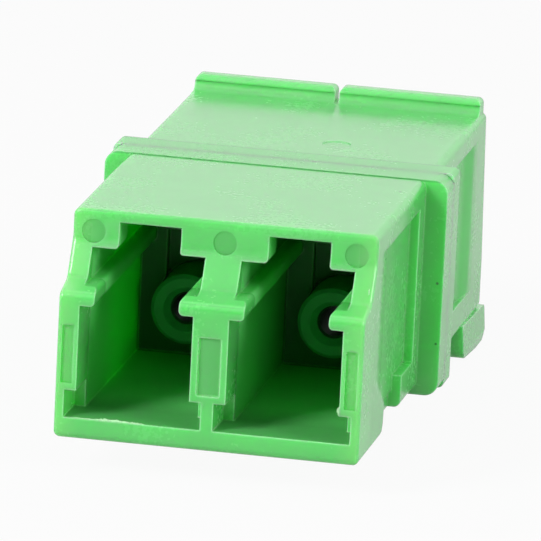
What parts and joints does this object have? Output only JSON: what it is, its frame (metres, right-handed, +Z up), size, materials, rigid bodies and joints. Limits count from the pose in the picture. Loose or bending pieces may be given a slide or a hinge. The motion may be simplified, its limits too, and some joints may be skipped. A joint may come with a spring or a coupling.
{
  "type": "duplex lc fibre adapter",
  "caption": "Flangeless green fibre adapter that joins two LC plugs to two more, end to end, in the outline of an SC simplex adapter.",
  "frame": {"origin": "on the resting surface, under the middle of the weld plane between the two housing halves", "axes": "+X across the two ports to the right seen from the front end, +Y from the front end to the rear end along the fibres, +Z up, with the latch side of the ports on top"},
  "size_m": [0.0146, 0.028, 0.0112],
  "materials": {
    "green_housing": "moulded, satin to semi-gloss",
    "green_carrier": "moulded, satin to semi-gloss",
    "zirconia": "ground white ceramic"
  },
  "bodies": {
    "root": {"front_housing": "green_housing", "rear_housing": "green_housing", "front_sleeve_carrier": "green_carrier", "rear_sleeve_carrier": "green_carrier", "left_split_sleeve": "zirconia", "right_split_sleeve": "zirconia"}
  },
  "joints": []
}
